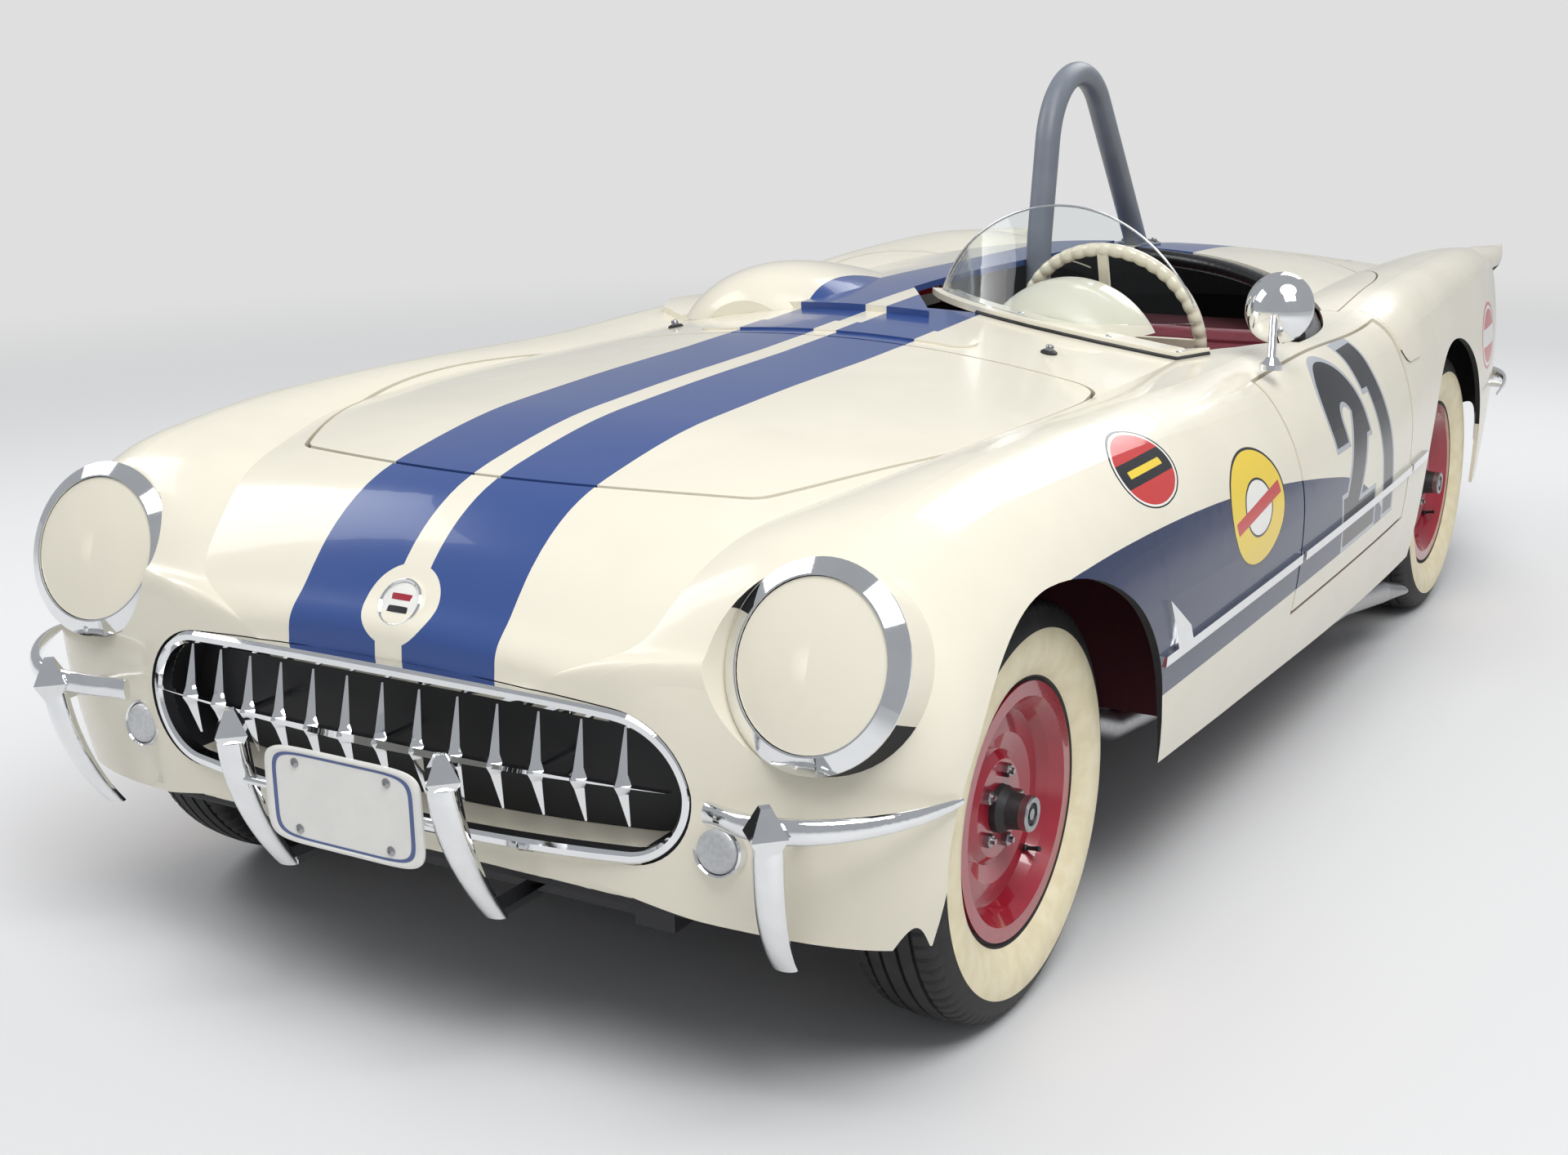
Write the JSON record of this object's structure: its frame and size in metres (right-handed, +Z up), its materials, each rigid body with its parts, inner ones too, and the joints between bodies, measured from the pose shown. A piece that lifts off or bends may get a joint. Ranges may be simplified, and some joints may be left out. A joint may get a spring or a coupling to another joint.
{
  "type": "roadster race car",
  "caption": "Open fibreglass roadster in race trim: toothed oval grille, blanked headlamps, small racing screen, roll hoop and a hard cover over the passenger side.",
  "frame": {"origin": "on the ground under the centre of the bounding box", "axes": "-Y out of the nose (the car drives towards -Y), +X to the car's left, +Z up"},
  "size_m": [1.8474, 4.2491, 1.4238],
  "materials": {
    "body_paint": "gloss cream",
    "chrome": "polished",
    "dark": "matte",
    "trim": "satin",
    "pad": "matte",
    "glass": "clear",
    "chassis": "satin black",
    "iron": "rough",
    "steel": "satin",
    "tyre": "matte",
    "rim": "gloss red",
    "hoop": "satin grey",
    "lamp_red": "gloss red",
    "lamp_clear": "clear",
    "cream": "gloss"
  },
  "bodies": {
    "car": {"body_front": "body_paint", "body_rear": "body_paint", "sills": "body_paint", "deck_lid": "body_paint", "passenger_cover": "body_paint", "dash": "body_paint", "floor_pan": "trim", "firewall": "trim", "rear_bulkhead": "trim", "cowl_vent": "body_paint", "windscreen_base": "body_paint", "front_crossmember": "chassis", "driver_seat": "trim", "cockpit_pad": "pad", "grille_surround": "chrome", "grille_backing": "dark", "grille_teeth": "chrome", "headlamp_bezels": "chrome", "headlamp_covers": "body_paint", "parking_lamps": "lamp_clear", "front_bumpers": "chrome", "centre_guards": "chrome", "rear_bumpers": "chrome", "plate": "dark", "tail_lamps": "lamp_red", "windscreen": "glass", "steering_column": "steel", "frame": "chassis", "suspension_arms": "chassis", "rear_axle": "iron", "leaf_springs": "steel", "engine_block": "iron", "exhaust": "steel", "roll_hoop": "hoop", "fuel_door": "body_paint", "spears_front": "chrome", "spears_rear": "chrome"},
    "knuckle_left": {"knuckle_left": "iron"},
    "knuckle_right": {"knuckle_right": "iron"},
    "wheel_front_left": {"tyre_front_left": "tyre", "rim_front_left": "rim", "hub_front_left": "iron"},
    "wheel_front_right": {"tyre_front_right": "tyre", "rim_front_right": "rim", "hub_front_right": "iron"},
    "wheel_rear_left": {"tyre_rear_left": "tyre", "rim_rear_left": "rim", "hub_rear_left": "iron"},
    "wheel_rear_right": {"tyre_rear_right": "tyre", "rim_rear_right": "rim", "hub_rear_right": "iron"},
    "steering_wheel": {"steering_wheel": "cream"},
    "hood": {"hood": "body_paint"},
    "trunk_lid": {"trunk_lid": "body_paint"},
    "door_left": {"door_left": "body_paint", "spear_door_left": "chrome", "mirror": "chrome"},
    "door_right": {"door_right": "body_paint", "spear_door_right": "chrome"}
  },
  "joints": [
    {"name": "steer_left", "type": "hinge", "parent": "car", "child": "knuckle_left", "pos_m": [0.612, -1.4295, 0.337], "axis": [0, 0, 1], "range_deg": [-30, 30]},
    {"name": "steer_right", "type": "hinge", "parent": "car", "child": "knuckle_right", "pos_m": [-0.612, -1.4295, 0.337], "axis": [0, 0, 1], "range_deg": [-30, 30]},
    {"name": "steering_wheel_turn", "type": "hinge", "parent": "car", "child": "steering_wheel", "pos_m": [0.385, -0.0575, 0.862], "axis": [0, 0.9659, 0.2588], "range_deg": [-481, 481]},
    {"name": "spin_front_left", "type": "hinge", "parent": "knuckle_left", "child": "wheel_front_left", "pos_m": [0.724, -1.4295, 0.337], "axis": [1, 0, 0], "continuous": true},
    {"name": "spin_front_right", "type": "hinge", "parent": "knuckle_right", "child": "wheel_front_right", "pos_m": [-0.724, -1.4295, 0.337], "axis": [1, 0, 0], "continuous": true},
    {"name": "spin_rear_left", "type": "hinge", "parent": "car", "child": "wheel_rear_left", "pos_m": [0.747, 1.1615, 0.337], "axis": [1, 0, 0], "continuous": true},
    {"name": "spin_rear_right", "type": "hinge", "parent": "car", "child": "wheel_rear_right", "pos_m": [-0.747, 1.1615, 0.337], "axis": [1, 0, 0], "continuous": true},
    {"name": "door_left_open", "type": "hinge", "parent": "car", "child": "door_left", "pos_m": [0.919, -0.3945, 0.6], "axis": [0, 0, -1], "range_deg": [0, 65]},
    {"name": "door_right_open", "type": "hinge", "parent": "car", "child": "door_right", "pos_m": [-0.919, -0.3945, 0.6], "axis": [0, 0, 1], "range_deg": [0, 65]},
    {"name": "hood_open", "type": "hinge", "parent": "car", "child": "hood", "pos_m": [0, -1.7195, 0.853], "axis": [1, 0, 0], "range_deg": [0, 60]},
    {"name": "trunk_open", "type": "hinge", "parent": "car", "child": "trunk_lid", "pos_m": [0, 1.3125, 0.912], "axis": [1, 0, 0], "range_deg": [0, 60]}
  ],
  "couplings": [
    {"joint": "steer_right", "follows": "steer_left", "ratio": 1},
    {"joint": "steering_wheel_turn", "follows": "steer_left", "ratio": 16}
  ]
}
